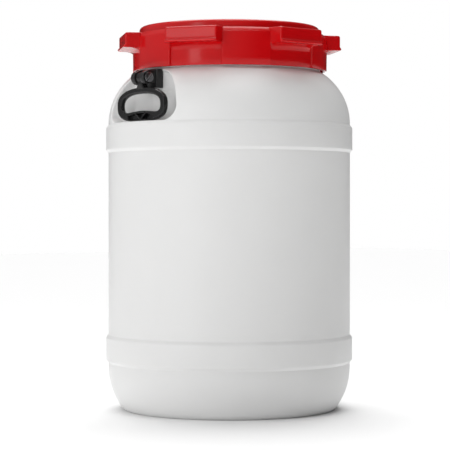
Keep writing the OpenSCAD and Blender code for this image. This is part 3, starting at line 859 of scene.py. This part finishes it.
def handle_mesh(name, side):
    """Loop swept from its sections, then the neck and the barrel, which overlap into one moulding."""
    bm = bmesh.new()

    def point(x, t, z):
        return Vector((side * x, side * t, z)) * MM

    back, front = LOOP_DEPTH
    rings = []
    for outer, inner in loop_sections():
        across = inner - outer
        bar = across.length
        across.normalize()
        r = min(3.4, bar * 0.38)
        section = rounded([(bar / 2, back, 0), (bar, back, r), (bar, front, r), (0, front, r), (0, back, r),
                           (bar / 2, back, 0)], 18)[:-1]
        corner = next(i for i, p in enumerate(section) if p.y > front - 1e-6)
        rise, rest = section[:corner + 1], section[corner + 1:]
        face = [Vector((bar - r + (2 * r - bar) * k / 20, front)) for k in range(1, 20)]
        ring = []
        for p in rise + face + rest:
            q = outer + across * p.x
            depth = p.y - (core_depth(q.x, q.y) if p.y > front - 1e-6 else 0)
            ring.append(bm.verts.new(point(depth, q.x, q.y)))
        rings.append(ring)
    for i in range(len(rings)):
        a, b = rings[i], rings[(i + 1) % len(rings)]
        for k in range(len(a)):
            m = (k + 1) % len(a)
            bm.faces.new((a[k], b[k], b[m], a[m]))
    # Neck: widens out of the barrel and flares into the top of the loop
    neck = [(507.0, 20.0, 3.9), (509.6, 20.8, 4.3), (510.8, 17.6, 4.6), (512.0, 13.8, 4.8),
            (513.6, 10.6, 5.1), (515.4, 8.4, 5.5), (517.6, 7.0, 6.0), (520, 6.5, 6.2), (524, 6.4, 6.2),
            (529, 6.3, 6.0)]
    count = 32
    last = None
    for z, wide, thick in neck:
        ring = []
        for i in range(count):
            p = oval(wide, thick, thick, 5, 5, 2 * math.pi * (i + 0.5) / count)
            ring.append(bm.verts.new(point(HINGE[0] + p.y, p.x, z)))
        if last:
            join_rings(bm, last, ring)
        else:
            bm.faces.new(ring)
        last = ring
    bm.faces.new(last)

    def barrel(x, z, y):
        return point(HINGE[0] + x, y, HINGE[1] + z)

    turned(bm, rounded([(BARREL_BORE, 0, 0), (BARREL_BORE, BARREL_HALF, 0.4), (BARREL_R, BARREL_HALF, 1.0),
                        (BARREL_R, -BARREL_HALF, 1.0), (BARREL_BORE, -BARREL_HALF, 0.4),
                        (BARREL_BORE, 0, 0)])[:-1], 48, barrel)
    return new_piece(name, bm, 34.0)


# The lighter corner colour on this near-black base paints a highlight along the grip's edges and V-rib,
# besides rubbed wear.
black_grip = finish(
    "black_grip_plastic", (0.006, 0.006, 0.0063), (0.009, 0.009, 0.0093), (0.11, 0.11, 0.113), (0.14, 0.22),
    {"Grain Size": 1200.0, "Wave Size": 40.0, "Grain Share": 0.5}, 0.05, 0.18,
    {"Specular IOR Level": 0.24, "Coat Weight": 0.08, "Coat Roughness": 0.1})
for side_name, side in SIDES.items():
    handle = handle_mesh("swing_handle_" + side_name, side)
    handle.data.materials.append(black_grip)
    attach(handle, "handle_" + side_name)
    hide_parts("handle_" + side_name)

# ---------------------------------------------------------------------------------------------
# Hinge hardware: a slotted pan-head bolt and a domed cap nut for each hinge, and the screw that
# locks each bracket on its dovetail, all of black-plated steel.
# ---------------------------------------------------------------------------------------------
SHANK_R = 4.0
HEAD_R = 8.0
HEAD_H = 3.2
SLOT_HALF = 1.0
SLOT_DEPTH = 1.6
CAP_EDGE = 0.55
SLOT_TURN = math.radians(40)
HEAD_SEAT = EAR_OUT + 0.1
NUT_FLATS = 13.0
NUT_H = 5.5
SCREW_X = 163.0
SCREW_Z = 534.5


def bolt_mesh(name, side):
    """Shank and pan head, with a straight slot across the head."""
    bm = bmesh.new()

    def along(x, z, y):
        return Vector((side * (HINGE[0] + x), side * y, HINGE[1] + z)) * MM

    far = -EAR_OUT - NUT_H - 0.5
    seat = HEAD_SEAT + HEAD_H - SLOT_DEPTH
    turned(bm, rounded([(0, far, 0), (SHANK_R, far, 0.6), (SHANK_R, HEAD_SEAT, 0.3), (HEAD_R, HEAD_SEAT, 0.3),
                        (HEAD_R, seat, 0), (0, seat, 0)], 30), 56, along)
    # The slot lies between two caps, each cut off along it
    reach = math.acos(SLOT_HALF / HEAD_R)
    for half in (0, math.pi):
        ends = [-reach + 2 * reach * i / 26 for i in range(27)]
        cap = [Vector((HEAD_R * math.cos(a + half + SLOT_TURN), HEAD_R * math.sin(a + half + SLOT_TURN)))
               for a in ends]
        slab(bm, cap, seat - CAP_EDGE, seat + SLOT_DEPTH, CAP_EDGE, along)
    return new_piece(name, bm, 35.0)


def nut_mesh(name, side):
    """Six flats under a dome."""
    bm = bmesh.new()
    flats = NUT_FLATS / 2

    def along(x, z, y):
        return Vector((side * (HINGE[0] + x), side * (-EAR_OUT - 0.1 - y), HINGE[1] + z)) * MM

    def six_sided(r, z, a):
        if z > NUT_H or r <= SHANK_R + 0.1:
            return r
        off = (a % (math.pi / 3)) - math.pi / 6
        return min(r, flats / math.cos(off))

    dome = arc(0, 4.0, 6.0, 15, 88, 8)
    turned(bm, [Vector((SHANK_R + 0.05, 0)), Vector((6.3, 0)), Vector((7.0, 0.35)), Vector((7.5, 0.8)),
                Vector((7.5, 4.7)), Vector((7.0, 5.1)), Vector((6.3, NUT_H))] + dome
           + [Vector((0, 10)), Vector((0, 6.8)), Vector((SHANK_R + 0.05, 6.8))], 72, along, six_sided)
    return new_piece(name, bm, 30.0)


def screw_mesh(name, side):
    """Pointed shank and pan head with a cross recess."""
    bm = bmesh.new()

    def along(y, z, x):
        return Vector((side * (SCREW_X + x), side * y, SCREW_Z + z)) * MM

    def crossed(r, z, a):
        return r * (0.62 + 0.38 * abs(math.cos(2 * a)) ** 3) if z > 0.8 and r < 2.7 else r

    turned(bm, [Vector((0, -12)), Vector((1.2, -11.4)), Vector((2.0, -9.5)), Vector((2.0, 0.1)),
                Vector((4.0, 0.1)), Vector((4.2, 0.35)), Vector((3.9, 1.3)), Vector((3.2, 2.0)),
                Vector((2.65, 2.25)), Vector((2.4, 2.2)), Vector((2.1, 1.1)), Vector((0, 0.95))],
           48, along, crossed)
    return new_piece(name, bm, 30.0)


black_steel = finish(
    "black_plated_steel", (0.14, 0.14, 0.145), (0.10, 0.10, 0.104), (0.5, 0.5, 0.51), (0.16, 0.3),
    {"Grain Size": 2400.0, "Wave Size": 90.0, "Grain Share": 0.6}, 0.04, 0.1, {"Metallic": 0.9})
FASTENERS = ((bolt_mesh, "slotted_bolt_", "hinge_bolt_"), (nut_mesh, "cap_nut_", "hinge_nut_"),
             (screw_mesh, "locking_screw_", "bracket_screw_"))
for side_name, side in SIDES.items():
    for make, part, node in FASTENERS:
        fastener = make(part + side_name, side)
        fastener.data.materials.append(black_steel)
        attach(fastener, "drum")
        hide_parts(node + side_name)

# ---------------------------------------------------------------------------------------------
# Studio: a pale floor, a broad light from above and behind, a narrow strip above the front, a
# softbox and a glow from the left, and white all round. The camera looks nearly level.
# ---------------------------------------------------------------------------------------------
floor_mesh = bpy.data.meshes.new("studio_floor")
FLOOR_HALF = 9
corners = [(x * FLOOR_HALF, y * FLOOR_HALF, 0) for x, y in ((-1, -1), (1, -1), (1, 1), (-1, 1))]
floor_mesh.from_pydata(corners, [], [(0, 1, 2, 3)])
floor = bpy.data.objects.new("studio_floor", floor_mesh)
bpy.context.scene.collection.objects.link(floor)
floor_paint = bpy.data.materials.new("pale_floor")
floor_paint.use_nodes = True
floor_shader = floor_paint.node_tree.nodes["Principled BSDF"]
floor_shader.inputs["Base Color"].default_value = (0.97, 0.97, 0.97, 1)
floor_shader.inputs["Roughness"].default_value = 0.9
floor_shader.inputs["Specular IOR Level"].default_value = 0.1
floor.data.materials.append(floor_paint)

GLOW_FROM = (-0.97, 0.08, 0.25)
GLOW = 0.70
OVERHEAD = 0.12
HAZE = 0.02


def surround_world():
    """White to look at; as light it glows from the left and from above."""
    world = bpy.data.worlds.new("studio_surround")
    world.use_nodes = True
    nodes, links = world.node_tree.nodes, world.node_tree.links
    place, path = nodes.new("ShaderNodeTexCoord"), nodes.new("ShaderNodeLightPath")
    total = None
    for way, strength in ((GLOW_FROM, GLOW), ((0, 0, 1), OVERHEAD)):
        dot, keep, part = (nodes.new("ShaderNodeVectorMath"), nodes.new("ShaderNodeMath"),
                           nodes.new("ShaderNodeMath"))
        dot.operation, keep.operation, part.operation = "DOT_PRODUCT", "MAXIMUM", "MULTIPLY_ADD"
        dot.inputs[1].default_value = way
        links.new(place.outputs["Generated"], dot.inputs[0])
        links.new(dot.outputs["Value"], keep.inputs[0])
        keep.inputs[1].default_value = 0
        links.new(keep.outputs[0], part.inputs[0])
        part.inputs[1].default_value = strength
        if total:
            links.new(total, part.inputs[2])
        else:
            part.inputs[2].default_value = HAZE
        total = part.outputs[0]
    seen = nodes.new("ShaderNodeMix")
    links.new(path.outputs["Is Camera Ray"], seen.inputs[0])
    links.new(total, seen.inputs[2])
    seen.inputs[3].default_value = 1.0
    links.new(seen.outputs[0], nodes["Background"].inputs["Strength"])
    nodes["Background"].inputs["Color"].default_value = (1, 1, 1, 1)
    return world


bpy.context.scene.world = surround_world()


def add_lamp(name, kind, place, aim, power, **settings):
    """A lamp at a place, turned to shine on a point."""
    lamp = bpy.data.lights.new(name, kind)
    lamp.energy = power
    for setting, value in settings.items():
        setattr(lamp, setting, value)
    stand = bpy.data.objects.new(name, lamp)
    stand.location = place
    stand.rotation_euler = (Vector(aim) - Vector(place)).to_track_quat("-Z", "Y").to_euler()
    bpy.context.scene.collection.objects.link(stand)


DRUM_FOOT = (0, 0, 0)
DRUM_MID = (0, 0, 0.3)
LID_MID = (0, 0, 0.6)
add_lamp("overhead", "SUN", (0.9, 1.07, 3), DRUM_FOOT, 2.5, angle=math.radians(50))
add_lamp("left_softbox", "AREA", (-2.95, -0.52, 1.0), DRUM_MID, 9, shape="RECTANGLE", size=0.7, size_y=1.9)
add_lamp("overhead_strip", "AREA", (-0.43, -0.82, 2.4), LID_MID, 7.5,
         shape="RECTANGLE", size=1.3, size_y=0.22)

CAMERA_AZIMUTH = math.radians(-40)
CAMERA_BACK = 14.2 * HOOP_R * MM
CAMERA_HEIGHT = 0.3198
CAMERA_TILT = math.radians(90 - 0.43)
CAMERA_PAN = math.radians(0.14)
LENS_LENGTH = 139.4
lens = bpy.data.cameras.new("studio_camera")
lens.sensor_width = 36
lens.lens = LENS_LENGTH
camera = bpy.data.objects.new("studio_camera", lens)
camera.location = (CAMERA_BACK * math.sin(CAMERA_AZIMUTH), -CAMERA_BACK * math.cos(CAMERA_AZIMUTH),
                   CAMERA_HEIGHT)
camera.rotation_euler = (CAMERA_TILT, 0, CAMERA_AZIMUTH + CAMERA_PAN)
bpy.context.scene.collection.objects.link(camera)
bpy.context.scene.camera = camera
bpy.context.scene.view_settings.view_transform = "Standard"
